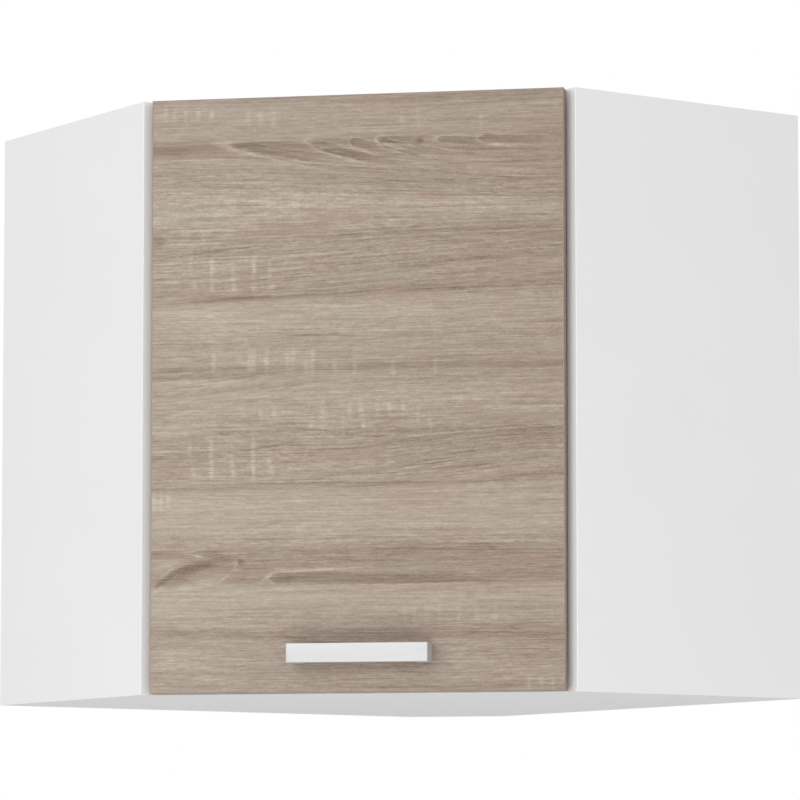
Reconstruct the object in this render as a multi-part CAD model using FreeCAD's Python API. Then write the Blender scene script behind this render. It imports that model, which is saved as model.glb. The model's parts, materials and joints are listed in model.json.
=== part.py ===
import FreeCAD, Part
import math
import os
from FreeCAD import Placement, Rotation, Vector

# Diagonal corner wall cabinet with a clipped rear corner. All lengths are in millimetres.
# Datum frame: X = 0 is the plane of symmetry, Y = 0 joins the outer front corners of the
# side panels, Z = 0 is the underside, and the door faces -Y.
# Corner frame: the room corner is its origin, x runs along the left wall and y along the
# right wall, so x is the distance from the right wall and y that from the left wall.
# Every piece is shifted at the end, which puts the origin under the middle of the cabinet.

# Carcass boards
wall_leg = 600.0
side_depth = 287.0
carcass_height = 603.0
board_thickness = 16.0
corner_clip = 75.0
front_setback = 1.0
back_thickness = 3.0
back_recess = 18.0
groove_depth = 8.0
groove_clearance = 0.2

# Edge bands
edge_band = 1.0
edge_band_radius = 0.7

# Door
door_side_overlap = 0.5
door_thickness = 16.0
door_gap = 2.5
door_bottom_gap = 0.5
door_top_gap = 1.0

# Swan-neck hinges, each a cup in the door, a cranked arm and a plate on the left side panel
hinge_end_distance = 100.0
pivot_inset = 8.0
pivot_depth = 8.5
cup_radius = 17.4
cup_bore_clearance = 0.1
cup_inset = 20.9
cup_depth = 12.0
cup_wall = 0.8
cup_flange = 1.2
cup_flange_radius = 19.0
cup_screw_offset = 9.5
cup_screw_spacing = 45.0
cup_wing_radius = 5.0
cup_screw_radius = 1.5
cup_screw_length = 11.0
cup_screw_head_radius = 3.2
cup_screw_head = 0.7
hinge_pin_radius = 1.3
hinge_pin_length = 14.0
pin_clearance = 0.05
eye_radius = 2.4
lug_radius = 2.5
lug_gap = 0.4
lug_thickness = 1.6
neck_thickness = 2.2
neck_width = 10.0
neck_sweep_radius = 15.3
neck_bend_radius = 4.0
arm_width = 17.0
arm_wall = 1.2
arm_flange_depth = 7.0
arm_start = 5.0
arm_end = 62.0
arm_nose_radius = 3.0

# Mounting plates
plate_row = 37.0
plate_base = 2.5
plate_wing_radius = 6.5
plate_body_start = 16.0
plate_body_end = 60.0
plate_body_taper = 4.0
plate_body_clearance = 0.3
plate_seat_clearance = 0.1
plate_screw_radius = 2.3
plate_screw_length = 12.5
plate_screw_head_radius = 4.2
plate_screw_head = 1.9
front_arm_screw = 27.0
rear_arm_screw = 50.0
arm_screw_radius = 2.0
arm_screw_head_radius = 3.6
arm_screw_head = 1.6
arm_screw_length = 10.0

# Handle
handle_length = 142.8
handle_height = 19.0
handle_projection = 28.0
handle_bar = 8.0
handle_leg = 14.8
handle_offset = 6.0
handle_centre_height = 38.3
handle_inner_radius = 4.0
handle_edge_radius = 0.6
handle_screw_radius = 2.0
handle_thread_depth = 9.0
handle_screw_head_radius = 4.0
handle_screw_head = 2.2

# Door bumpers
bumper_radius = 4.0
bumper_thickness = 3.2
bumper_inset = 16.0

# Shelf and its pins
shelf_setback = 25.0
shelf_side_clearance = 1.0
shelf_back_clearance = 1.5
shelf_seat_clearance = 0.2
system_pitch = 32.0
system_radius = 2.5
system_depth = 12.0
shelf_rows = 3
rear_row_steps = 6
pin_radius = 2.4
pin_shank = 8.0
pin_collar_radius = 3.5
pin_collar = 1.5
pin_tab_length = 9.0
pin_tab_width = 8.0
pin_tab_thickness = 3.0

# Cam locks, their bolts and the wood dowels
cam_radius = 7.4
cam_height = 12.2
cam_bore_depth = 12.5
cam_inset = 24.0
cam_front_distance = 60.0
cam_slot_width = 1.6
cam_slot_length = 9.0
cam_slot_depth = 2.0
cam_cap_radius = 9.0
cam_cap_thickness = 1.0
bolt_radius = 2.2
bolt_thread_radius = 2.4
bolt_thread_length = 11.0
bolt_head_radius = 3.2
bolt_head_length = 4.0
bolt_bore_radius = 3.5
dowel_radius = 3.9
dowel_side_depth = 11.5
dowel_board_depth = 23.5
dowel_offset = 32.0
rear_dowel_spacing = 50.0
fastener_clearance = 0.1

# Concealed hangers, each a case on a side panel, a carriage that rises and a hook that draws in
hanger_width = 17.0
hanger_depth = 46.0
hanger_height = 56.0
hanger_wall = 2.0
hanger_gap = 0.1
hanger_lug_radius = 4.9
hanger_lug_length = 9.0
hanger_lug_spacing = 28.0
carriage_clearance = 0.3
carriage_lift = 5.0
carriage_depth = 22.0
hook_thickness = 2.5
hook_height = 22.0
hook_reach = 15.0
hook_travel = 8.0
hook_notch_wall = 3.5
hook_notch_width = 4.0
hook_notch_depth = 10.0
hook_slot_clearance = 1.0
hanger_screw_radius = 2.0
hanger_screw_head_radius = 4.0
hanger_screw_head = 1.2
hanger_screw_tip = 1.0

# Sides of the small round fittings and of their holes
fitting_sides = 8

# One overrun serves every cut
overrun = 1.0

# Places worked out from the sizes above
diagonal_share = math.sqrt(0.5)
inner_side = wall_leg - board_thickness
front_edge_y = board_thickness * diagonal_share
room_corner_y = (wall_leg + side_depth) * diagonal_share
clip_y = room_corner_y - corner_clip * diagonal_share
rear_board_width = corner_clip / diagonal_share
rear_board_y = clip_y - board_thickness
back_front = back_recess + back_thickness
door_back_y = front_edge_y - door_gap
door_width = 2 * ((inner_side - side_depth) * diagonal_share + door_side_overlap)
door_height = carcass_height - door_bottom_gap - door_top_gap
handle_hole_spacing = handle_length - handle_leg
handle_front_y = door_back_y - door_thickness - handle_projection
middle_y = (handle_front_y + clip_y) / 2
hinge_heights = [hinge_end_distance, carcass_height - hinge_end_distance]
front_row = side_depth - plate_row
rear_row = front_row - rear_row_steps * system_pitch
shelf_pin_height = carcass_height / 2 - board_thickness / 2
shelf_bottom = shelf_pin_height + pin_radius + shelf_seat_clearance
bolt_level = board_thickness / 2

corner_frame = Placement(Vector(0, room_corner_y, 0), Rotation(Vector(0, 0, 1), -135))
panel_corner = corner_frame.multVec(Vector(inner_side, side_depth, 0))
door_frame = Placement(Vector(-door_width / 2, door_back_y, door_bottom_gap), Rotation())


# Shapes used by every piece

def block(low, high):
    size = Vector(*high) - Vector(*low)
    return Part.makeBox(size.x, size.y, size.z, Vector(*low))


def cylinder(start, direction, radius, length):
    return Part.makeCylinder(radius, length, Vector(*start), Vector(*direction))


def ring(start, direction, radius):
    # A circle drawn with few sides, which keeps the many small fittings light
    turn = Rotation(Vector(0, 0, 1), Vector(*direction))
    points = []
    for step in range(fitting_sides + 1):
        angle = 2 * math.pi * step / fitting_sides
        points.append(Vector(*start) + turn.multVec(Vector(math.cos(angle), math.sin(angle), 0) * radius))
    return Part.makePolygon(points)


def rod(start, direction, radius, length):
    along = Vector(*direction).normalize() * length
    return Part.Face(ring(start, direction, radius)).extrude(along)


def sheet(outline, low, high):
    points = [Vector(x, y, low) for x, y in outline]
    face = Part.Face(Part.makePolygon(points + points[:1]))
    return face.extrude(Vector(0, 0, high - low))


def round_ended_bar(start, end, radius, low, high):
    along = Vector(end[0] - start[0], end[1] - start[1], 0)
    side = Vector(-along.y, along.x, 0).normalize() * radius
    corners = [Vector(*start, low) - side, Vector(*end, low) - side]
    corners += [Vector(*end, low) + side, Vector(*start, low) + side]
    bar = Part.Face(Part.makePolygon(corners + corners[:1])).extrude(Vector(0, 0, high - low))
    for x, y in (start, end):
        bar = bar.fuse(rod((x, y, low), (0, 0, 1), radius, high - low))
    return bar.removeSplitter()


def placed(shape, frame):
    copy = shape.copy()
    copy.Placement = frame.multiply(copy.Placement)
    return copy


def other_side(shape):
    return shape.mirror(Vector(0, 0, 0), Vector(1, 0, 0))


def across_corner(shape):
    return shape.mirror(Vector(0, 0, 0), Vector(1, -1, 0))


def rounded(shape, radius, chosen):
    return shape.makeFillet(radius, [edge for edge in shape.Edges if chosen(edge.CenterOfMass)])


nodes = {}


def keep(name, *shapes):
    shape = shapes[0] if len(shapes) == 1 else Part.makeCompound(shapes)
    nodes[name] = placed(shape, Placement(Vector(0, -middle_y, 0), Rotation()))


# Joinery places on one side panel, in the corner frame

cam_rows = [cam_front_distance, side_depth - cam_front_distance]
dowel_rows = [cam_rows[0] + dowel_offset, cam_rows[1] - dowel_offset]
board_levels = [bolt_level, carcass_height - bolt_level]
cam_tops = [board_thickness, carcass_height]


def side_joinery_holes():
    holes = []
    for level in board_levels:
        for row in cam_rows:
            holes.append(rod((inner_side, row, level), (1, 0, 0), system_radius, system_depth))
        for row in dowel_rows:
            reach = dowel_side_depth + fastener_clearance
            radius = dowel_radius + fastener_clearance
            holes.append(rod((inner_side, row, level), (1, 0, 0), radius, reach))
    return holes


def board_joinery_holes(level, top):
    holes = []
    for row in cam_rows:
        start = (inner_side - cam_inset, row, top - cam_bore_depth)
        radius = cam_radius + fastener_clearance
        holes.append(rod(start, (0, 0, 1), radius, cam_bore_depth + overrun))
        holes.append(rod((inner_side, row, level), (-1, 0, 0), bolt_bore_radius, cam_inset))
    for row in dowel_rows:
        reach = dowel_board_depth + fastener_clearance
        radius = dowel_radius + fastener_clearance
        holes.append(rod((inner_side, row, level), (-1, 0, 0), radius, reach))
    return holes + [across_corner(hole) for hole in holes]


def rear_dowel_places():
    y = clip_y - board_thickness / 2
    return [(-rear_dowel_spacing / 2, y), (rear_dowel_spacing / 2, y)]


# Carcass boards

def back_groove(low, high, end):
    return block((low, back_recess - groove_clearance, end[0]),
                 (high, back_front + groove_clearance, end[1]))


def side_panel():
    panel = block((inner_side, 0, 0), (wall_leg, side_depth - edge_band, carcass_height))
    low = board_thickness - groove_depth
    groove = back_groove(inner_side - overrun, inner_side + groove_depth, (low, carcass_height - low))
    holes = side_joinery_holes() + [groove] + hanger_lug_holes()
    middle_row = (shelf_rows - 1) / 2
    for step in range(shelf_rows):
        level = shelf_pin_height + (step - middle_row) * system_pitch
        for row in (front_row, rear_row):
            holes.append(rod((inner_side, row, level), (1, 0, 0), system_radius, system_depth))
    return panel, holes


def plate_screw_holes():
    holes = []
    for height in hinge_heights:
        for side in (-1, 1):
            level = height + side * system_pitch / 2
            holes.append(rod((inner_side, front_row, level), (1, 0, 0), system_radius, system_depth))
    return holes


def make_side_panels():
    panel, holes = side_panel()
    left = panel.cut(holes + plate_screw_holes())
    right = panel.cut(holes)
    keep("left_side_panel", placed(left, corner_frame))
    keep("right_side_panel", other_side(placed(right, corner_frame)))


def make_side_bands():
    band = block((inner_side, side_depth - edge_band, 0), (wall_leg, side_depth, carcass_height))
    front = side_depth - edge_band / 2
    band = rounded(band, edge_band_radius, lambda at: at.y > front and 0 < at.z < carcass_height
                   and abs(at.z - carcass_height / 2) < overrun)
    band = placed(band, corner_frame)
    keep("left_side_edge_band", band)
    keep("right_side_edge_band", other_side(band))


def board_outline(front, side, back_line, rear_line):
    # Six corners, told by the sum of x and y along the slanted front and rear lines
    half = [(side, back_line), (side, front - side)]
    rear = [(back_line, rear_line - back_line), (rear_line - back_line, back_line)]
    return half + [(front - side, side), (back_line, side)] + rear


def front_band(front, side, low, high):
    inner = front - edge_band / diagonal_share
    outline = [(side, inner - side), (side, front - side), (front - side, side), (inner - side, side)]
    return sheet(outline, low, high)


def horizontal_board(low, level, top):
    front = inner_side + side_depth - (front_setback + edge_band) / diagonal_share
    board = sheet(board_outline(front, inner_side, 0, corner_clip), low, low + board_thickness)
    inward = low + board_thickness if low == 0 else low
    groove_end = (inward - groove_depth, inward + groove_depth)
    groove = back_groove(back_groove_end() - groove_clearance, inner_side + overrun, groove_end)
    holes = board_joinery_holes(level, top) + [groove, across_corner(groove)]
    inverse = corner_frame.inverse()
    for x, y in rear_dowel_places():
        start = inverse.multVec(Vector(x, y, inward - dowel_side_depth))
        radius = dowel_radius + fastener_clearance
        holes.append(rod(start, (0, 0, 1), radius, 2 * dowel_side_depth))
    return placed(board.cut(holes), corner_frame)


def make_horizontal_boards():
    top_low = carcass_height - board_thickness
    keep("bottom_panel", horizontal_board(0, board_levels[0], cam_tops[0]))
    keep("top_panel", horizontal_board(top_low, board_levels[1], cam_tops[1]))
    front = inner_side + side_depth - front_setback / diagonal_share
    bands = [front_band(front, inner_side, low, low + board_thickness) for low in (0, top_low)]
    keep("front_edge_bands", *[placed(band, corner_frame) for band in bands])


def back_groove_end():
    # Where the back panels stop inside the rear corner board
    board_face = corner_clip + board_thickness / diagonal_share
    return board_face - back_front - groove_depth


def make_rear_corner_board():
    half = rear_board_width / 2
    low = board_thickness
    high = carcass_height - board_thickness
    board = block((-half, rear_board_y, low), (half, clip_y, high))
    groove = back_groove(back_groove_end(), inner_side, (low - overrun, high + overrun))
    groove = placed(groove, corner_frame)
    holes = [groove, other_side(groove)]
    for x, y in rear_dowel_places():
        radius = dowel_radius + fastener_clearance
        reach = dowel_board_depth + fastener_clearance
        holes.append(rod((x, y, low), (0, 0, 1), radius, reach))
        holes.append(rod((x, y, high), (0, 0, -1), radius, reach))
    holes.append(rod((0, rear_board_y, shelf_pin_height), (0, 1, 0), system_radius, system_depth))
    keep("rear_corner_board", board.cut(holes))


def make_back_panels():
    low = board_thickness - groove_depth + groove_clearance
    start = back_groove_end() + groove_clearance
    end = inner_side + groove_depth - groove_clearance
    panel = block((start, back_recess, low), (end, back_front, carcass_height - low))
    panel = placed(panel.cut(hook_slot()), corner_frame)
    keep("left_back_panel", panel)
    keep("right_back_panel", other_side(panel))


# Cam locks, bolts and dowels

def cam_lock(row, level, top):
    x = inner_side - cam_inset
    base = top - cam_bore_depth + fastener_clearance
    cam = rod((x, row, base), (0, 0, 1), cam_radius, cam_height)
    head_room = bolt_head_radius + fastener_clearance
    head_start = x + bolt_head_length / 2 + fastener_clearance
    mouth = rod((head_start, row, level), (-1, 0, 0), head_room, bolt_head_length + 2 * fastener_clearance)
    neck = rod((x, row, level), (1, 0, 0), bolt_radius + fastener_clearance, cam_radius + overrun)
    crown = base + cam_height
    slot = block((x - cam_slot_length / 2, row - cam_slot_width / 2, crown - cam_slot_depth),
                 (x + cam_slot_length / 2, row + cam_slot_width / 2, crown + overrun))
    return cam.cut([mouth, neck, slot])


def cam_bolt(row, level):
    thread = rod((inner_side, row, level), (1, 0, 0), bolt_thread_radius, bolt_thread_length)
    shaft = rod((inner_side, row, level), (-1, 0, 0), bolt_radius, cam_inset)
    head_start = inner_side - cam_inset + bolt_head_length / 2
    head = rod((head_start, row, level), (-1, 0, 0), bolt_head_radius, bolt_head_length)
    return thread.fuse([shaft, head]).removeSplitter()


def make_joinery():
    cams = []
    bolts = []
    dowels = []
    for level, top in zip(board_levels, cam_tops):
        for row in cam_rows:
            cams.append(placed(cam_lock(row, level, top), corner_frame))
            bolts.append(placed(cam_bolt(row, level), corner_frame))
        for row in dowel_rows:
            start = (inner_side + dowel_side_depth, row, level)
            length = dowel_side_depth + dowel_board_depth
            dowels.append(placed(rod(start, (-1, 0, 0), dowel_radius, length), corner_frame))
    rear_dowels = []
    for x, y in rear_dowel_places():
        length = dowel_side_depth + dowel_board_depth - fastener_clearance
        foot = board_thickness - dowel_side_depth + fastener_clearance
        rear_dowels.append(rod((x, y, foot), (0, 0, 1), dowel_radius, length))
        rear_dowels.append(rod((x, y, carcass_height - foot), (0, 0, -1), dowel_radius, length))
    keep("cam_locks", *(cams + [other_side(cam) for cam in cams]))
    keep("cam_bolts", *(bolts + [other_side(bolt) for bolt in bolts]))
    keep("wood_dowels", *(dowels + [other_side(dowel) for dowel in dowels] + rear_dowels))


def make_cam_caps():
    caps = []
    for row in cam_rows:
        start = (inner_side - cam_inset, row, board_thickness)
        cap = rod(start, (0, 0, 1), cam_cap_radius, cam_cap_thickness)
        caps.append(placed(cap, corner_frame))
    keep("cam_cover_caps", *(caps + [other_side(cap) for cap in caps]))


# Door, its edge bands and bumpers

def cup_screw_places():
    u = cup_inset + cup_screw_offset
    return [(u, side * cup_screw_spacing / 2) for side in (-1, 1)]


def door_hinge_levels():
    return [height - door_bottom_gap for height in hinge_heights]


def handle_hole_places():
    u = door_width / 2 + handle_offset
    return [u - handle_hole_spacing / 2, u + handle_hole_spacing / 2]


def make_door():
    panel = block((edge_band, -door_thickness, edge_band),
                  (door_width - edge_band, 0, door_height - edge_band))
    holes = []
    for level in door_hinge_levels():
        radius = cup_radius + cup_bore_clearance
        depth = cup_depth + cup_bore_clearance
        holes.append(cylinder((cup_inset, 0, level), (0, -1, 0), radius, depth))
        for u, rise in cup_screw_places():
            bore = cup_screw_radius + fastener_clearance
            reach = cup_screw_length + fastener_clearance
            holes.append(rod((u, 0, level + rise), (0, -1, 0), bore, reach))
    for u in handle_hole_places():
        bore = handle_screw_radius + fastener_clearance
        holes.append(rod((u, 0, handle_centre_height), (0, -1, 0), bore, door_thickness))
    keep("door_panel", placed(panel.cut(holes), door_frame))


def make_door_bands():
    inner_width = door_width - edge_band
    inner_height = door_height - edge_band
    upright = block((0, -door_thickness, 0), (edge_band, 0, door_height))
    upright = rounded(upright, edge_band_radius,
                      lambda at: at.x < edge_band / 2 and abs(at.z - door_height / 2) < overrun)
    flat = block((edge_band, -door_thickness, 0), (inner_width, 0, edge_band))
    flat = rounded(flat, edge_band_radius,
                   lambda at: at.z < edge_band / 2 and abs(at.x - door_width / 2) < overrun)
    far_upright = upright.mirror(Vector(door_width / 2, 0, 0), Vector(1, 0, 0))
    top_flat = flat.mirror(Vector(0, 0, (inner_height + edge_band) / 2), Vector(0, 0, 1))
    bands = [upright, far_upright, flat, top_flat]
    keep("door_edge_bands", *[placed(band, door_frame) for band in bands])


def make_bumpers():
    bumpers = []
    for height in board_levels:
        start = (door_width - bumper_inset, 0, height - door_bottom_gap)
        dot = rod(start, (0, 1, 0), bumper_radius, bumper_thickness)
        bumpers.append(placed(dot, door_frame))
    keep("door_bumpers", *bumpers)


# Hinges

def flat_screw(radius, length, head_radius, head):
    # Stands along +Z with the top of its head at Z = 0
    crown = rod((0, 0, -head), (0, 0, 1), head_radius, head)
    return crown.fuse(rod((0, 0, -length), (0, 0, 1), radius, length - head)).removeSplitter()


def hinge_cup():
    # In the door's frame, about the hinge's own height
    back = Rotation(Vector(1, 0, 0), -90)
    bowl = cylinder((cup_inset, -cup_depth, 0), (0, 1, 0), cup_radius, cup_depth)
    flange = round_ended_bar((0, -cup_screw_spacing / 2), (0, cup_screw_spacing / 2),
                             cup_wing_radius, 0, cup_flange)
    flange = placed(flange, Placement(Vector(cup_inset + cup_screw_offset, 0, 0), back))
    disc = cylinder((cup_inset, 0, 0), (0, 1, 0), cup_flange_radius, cup_flange)
    hollow_radius = cup_radius - cup_wall
    floor = cup_wall - cup_depth
    hollow = cylinder((cup_inset, floor, 0), (0, 1, 0), hollow_radius, cup_depth + cup_flange)
    cup = bowl.fuse([disc, flange]).cut(hollow)
    lug_start = neck_width / 2 + lug_gap
    for side in (-1, 1):
        start = (pivot_inset, -pivot_depth, side * lug_start)
        lug = rod(start, (0, 0, side), lug_radius, lug_thickness)
        ends = sorted((side * lug_start, side * (lug_start + lug_thickness)))
        foot = block((pivot_inset - lug_radius, floor - cup_wall / 2, ends[0]),
                     (pivot_inset + lug_radius, -pivot_depth, ends[1]))
        bowl_space = cylinder((cup_inset, -cup_depth, 0), (0, 1, 0), cup_radius, cup_depth)
        cup = cup.fuse(lug.fuse(foot).common(bowl_space))
    pin_bore = rod((pivot_inset, -pivot_depth, -cup_radius), (0, 0, 1), hinge_pin_radius, 2 * cup_radius)
    inner = cylinder((cup_inset, floor, 0), (0, 1, 0), hollow_radius, cup_depth)
    cup = cup.cut(pin_bore.common(inner))
    for u, rise in cup_screw_places():
        screw = flat_screw(cup_screw_radius + fastener_clearance, cup_screw_length,
                           cup_screw_head_radius + fastener_clearance, cup_screw_head)
        cup = cup.cut(placed(screw, Placement(Vector(u, cup_flange, rise), back)))
    return cup.removeSplitter()


def make_hinge_cups():
    back = Rotation(Vector(1, 0, 0), -90)
    screw = flat_screw(cup_screw_radius, cup_screw_length, cup_screw_head_radius, cup_screw_head)
    pin_foot = (pivot_inset, -pivot_depth, -hinge_pin_length / 2)
    pin = rod(pin_foot, (0, 0, 1), hinge_pin_radius, hinge_pin_length)
    cup = hinge_cup()
    pins = []
    screws = []
    for name, level in zip(("lower_hinge_cup", "upper_hinge_cup"), door_hinge_levels()):
        frame = door_frame.multiply(Placement(Vector(0, 0, level), Rotation()))
        keep(name, placed(cup, frame))
        pins.append(placed(pin, frame))
        for u, rise in cup_screw_places():
            screws.append(placed(screw, frame.multiply(Placement(Vector(u, cup_flange, rise), back))))
    keep("hinge_pins", *pins)
    keep("cup_screws", *screws)


def arc(centre, radius, start, end):
    middle = (start + end) / 2
    points = [centre + Vector(math.cos(angle), math.sin(angle), 0) * radius for angle in (start, middle, end)]
    return Part.Arc(*points).toShape()


def hinge_frame(height):
    # Corner of the left side panel's inner face and front edge: x inwards, y to the back
    return Placement(panel_corner + Vector(0, 0, height), Rotation(Vector(0, 0, 1), 45))


def hinge_pivot():
    pivot = Vector(-door_width / 2 + pivot_inset, door_back_y - pivot_depth, 0)
    return hinge_frame(0).inverse().multVec(pivot)


def swan_neck():
    # Straight from the eye, a tight bend, then an arc about the pivot that meets the arm
    pivot = hinge_pivot()
    half = neck_thickness / 2
    reach = math.sqrt(neck_sweep_radius ** 2 - 2 * neck_sweep_radius * neck_bend_radius)
    forward = Vector(diagonal_share, -diagonal_share, 0)
    side = Vector(diagonal_share, diagonal_share, 0)
    bend = pivot + forward * reach + side * neck_bend_radius
    meeting = math.atan2(bend.y - pivot.y, bend.x - pivot.x)
    start = math.radians(-135)
    outer = [pivot - side * half, pivot + forward * reach - side * half]
    inner = [pivot + side * half, pivot + forward * reach + side * half]
    x_outer = pivot.x + neck_sweep_radius + half
    x_inner = pivot.x + neck_sweep_radius - half
    ends = [Vector(x_outer, pivot.y, 0), Vector(x_outer, arm_start + arm_nose_radius, 0)]
    ends += [Vector(x_inner, arm_start + arm_nose_radius, 0), Vector(x_inner, pivot.y, 0)]
    edges = [Part.makeLine(*outer)]
    edges.append(arc(bend, neck_bend_radius + half, start, meeting))
    edges.append(arc(pivot, neck_sweep_radius + half, meeting, 0))
    edges += [Part.makeLine(ends[0], ends[1]), Part.makeLine(ends[1], ends[2])]
    edges.append(Part.makeLine(ends[2], ends[3]))
    edges.append(arc(pivot, neck_sweep_radius - half, meeting, 0))
    edges.append(arc(bend, neck_bend_radius - half, start, meeting))
    edges += [Part.makeLine(inner[1], inner[0]), Part.makeLine(inner[0], outer[0])]
    profile = Part.Face(Part.Wire(Part.__sortEdges__(edges)))
    neck = profile.extrude(Vector(0, 0, neck_width))
    return placed(neck, Placement(Vector(0, 0, -neck_width / 2), Rotation()))


def hinge_arm():
    pivot = hinge_pivot()
    x_outer = pivot.x + neck_sweep_radius + neck_thickness / 2
    x_inner = x_outer - neck_thickness
    half = arm_width / 2
    crown = block((x_inner, arm_start, -half), (x_outer, arm_end, half))
    middle = (x_inner + x_outer) / 2
    crown = rounded(crown, arm_nose_radius, lambda at: abs(at.x - middle) < neck_thickness / 4)
    walls = []
    for side in (-1, 1):
        ends = sorted((side * half, side * (half - arm_wall)))
        wall = block((x_outer - arm_flange_depth, arm_start + arm_nose_radius, ends[0]),
                     (x_outer - neck_thickness / 2, arm_end - arm_nose_radius, ends[1]))
        walls.append(wall)
    eye = cylinder((pivot.x, pivot.y, -neck_width / 2), (0, 0, 1), eye_radius, neck_width)
    bore_radius = hinge_pin_radius + pin_clearance
    bore = cylinder((pivot.x, pivot.y, -neck_width), (0, 0, 1), bore_radius, 2 * neck_width)
    holes = [bore]
    for y in (front_arm_screw, rear_arm_screw):
        radius = arm_screw_radius + fastener_clearance
        holes.append(rod((x_inner - overrun, y, 0), (1, 0, 0), radius, neck_thickness + 2 * overrun))
    return crown.fuse(walls + [swan_neck(), eye]).cut(holes).removeSplitter()


def mounting_plate():
    pivot = hinge_pivot()
    crown = pivot.x + neck_sweep_radius - neck_thickness / 2 - plate_seat_clearance
    half = arm_width / 2 - arm_wall - plate_body_clearance
    outline = [(0, plate_body_start), (crown, plate_body_start + plate_body_taper),
               (crown, plate_body_end), (0, plate_body_end)]
    body = sheet(outline, -half, half)
    upright = Rotation(Vector(0, 1, 0), 90)
    wings = round_ended_bar((-system_pitch / 2, plate_row), (system_pitch / 2, plate_row),
                            plate_wing_radius, 0, plate_base)
    wings = placed(wings, Placement(Vector(0, 0, 0), upright))
    plate = body.fuse(wings)
    holes = []
    for y in (front_arm_screw, rear_arm_screw):
        depth = arm_screw_length - neck_thickness
        start = (crown - depth, y, 0)
        holes.append(rod(start, (1, 0, 0), arm_screw_radius + fastener_clearance, depth + overrun))
    screw = flat_screw(plate_screw_radius + fastener_clearance, plate_screw_length,
                       plate_screw_head_radius + fastener_clearance, plate_screw_head)
    for side in (-1, 1):
        place = Placement(Vector(plate_base, plate_row, side * system_pitch / 2), upright)
        holes.append(placed(screw, place))
    return plate.cut(holes).removeSplitter()


def make_hinge_arms():
    arm = hinge_arm()
    plate = mounting_plate()
    upright = Rotation(Vector(0, 1, 0), 90)
    x_outer = hinge_pivot().x + neck_sweep_radius + neck_thickness / 2
    head = rod((x_outer, 0, 0), (1, 0, 0), arm_screw_head_radius, arm_screw_head)
    shank = rod((x_outer, 0, 0), (-1, 0, 0), arm_screw_radius, arm_screw_length - fastener_clearance)
    arm_screw = head.fuse(shank).removeSplitter()
    plate_screw = flat_screw(plate_screw_radius, plate_screw_length,
                             plate_screw_head_radius, plate_screw_head)
    plate_screws = []
    arm_screws = []
    for name, height in zip(("lower", "upper"), hinge_heights):
        frame = hinge_frame(height)
        keep(name + "_hinge_arm", placed(arm, frame))
        keep(name + "_mounting_plate", placed(plate, frame))
        for side in (-1, 1):
            place = Placement(Vector(plate_base, plate_row, side * system_pitch / 2), upright)
            plate_screws.append(placed(plate_screw, frame.multiply(place)))
        for y in (front_arm_screw, rear_arm_screw):
            arm_screws.append(placed(arm_screw, frame.multiply(Placement(Vector(0, y, 0), Rotation()))))
    keep("plate_screws", *plate_screws)
    keep("hinge_arm_screws", *arm_screws)


# Handle

def make_handle():
    centre = door_width / 2 + handle_offset
    left = centre - handle_length / 2
    right = centre + handle_length / 2
    low = handle_centre_height - handle_height / 2
    high = low + handle_height
    front = -door_thickness - handle_projection
    handle = block((left, front, low), (right, -door_thickness, high))
    handle = rounded(handle, handle_edge_radius, lambda at: at.y < front + handle_edge_radius)
    finger_gap = block((left + handle_leg, front + handle_bar, low - overrun),
                       (right - handle_leg, overrun - door_thickness, high + overrun))
    finger_gap = rounded(finger_gap, handle_inner_radius,
                         lambda at: at.y < front + handle_bar + overrun
                         and abs(at.x - centre) > handle_hole_spacing / 4)
    handle = handle.cut(finger_gap)
    screws = []
    for u in handle_hole_places():
        bore = handle_screw_radius + fastener_clearance
        reach = handle_thread_depth + fastener_clearance
        handle = handle.cut(rod((u, -door_thickness, handle_centre_height), (0, -1, 0), bore, reach))
        shank_length = door_thickness + handle_thread_depth
        shank = rod((u, 0, handle_centre_height), (0, -1, 0), handle_screw_radius, shank_length)
        head = rod((u, 0, handle_centre_height), (0, 1, 0), handle_screw_head_radius, handle_screw_head)
        screws.append(placed(head.fuse(shank).removeSplitter(), door_frame))
    keep("door_handle", placed(handle, door_frame))
    keep("handle_screws", *screws)


# Shelf

def make_shelf():
    front = inner_side + side_depth - shelf_setback / diagonal_share
    side = inner_side - shelf_side_clearance
    back_line = back_front + shelf_back_clearance
    rear_line = corner_clip + (board_thickness + shelf_back_clearance) / diagonal_share
    core_front = front - edge_band / diagonal_share
    board = sheet(board_outline(core_front, side, back_line, rear_line),
                  shelf_bottom, shelf_bottom + board_thickness)
    band = front_band(front, side, shelf_bottom, shelf_bottom + board_thickness)
    keep("shelf_board", placed(board, corner_frame))
    keep("shelf_edge_band", placed(band, corner_frame))


def shelf_pin():
    # Shank along -X into its hole, tab along +X under the shelf
    shank = rod((-pin_shank, 0, 0), (1, 0, 0), pin_radius, pin_shank)
    collar = rod((0, 0, 0), (1, 0, 0), pin_collar_radius, pin_collar)
    top = pin_radius
    collar = collar.common(block((0, -pin_collar_radius, -pin_collar_radius),
                                 (pin_collar, pin_collar_radius, top)))
    tab = round_ended_bar((pin_collar, 0), (pin_collar + pin_tab_length - pin_tab_width / 2, 0),
                          pin_tab_width / 2, top - pin_tab_thickness, top)
    tab = tab.common(block((pin_collar / 2, -pin_tab_width, -pin_tab_width),
                           (pin_collar + pin_tab_length, pin_tab_width, pin_tab_width)))
    return shank.fuse([collar, tab]).removeSplitter()


def make_shelf_pins():
    pin = shelf_pin()
    pins = []
    for row in (front_row, rear_row):
        seat = Placement(Vector(inner_side, row, shelf_pin_height), Rotation(Vector(0, 0, 1), 180))
        pins.append(placed(pin, corner_frame.multiply(seat)))
    rear_seat = Placement(Vector(0, rear_board_y, shelf_pin_height), Rotation(Vector(0, 0, 1), -90))
    keep("shelf_pins", *(pins + [other_side(each) for each in pins] + [placed(pin, rear_seat)]))


# Hangers

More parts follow.
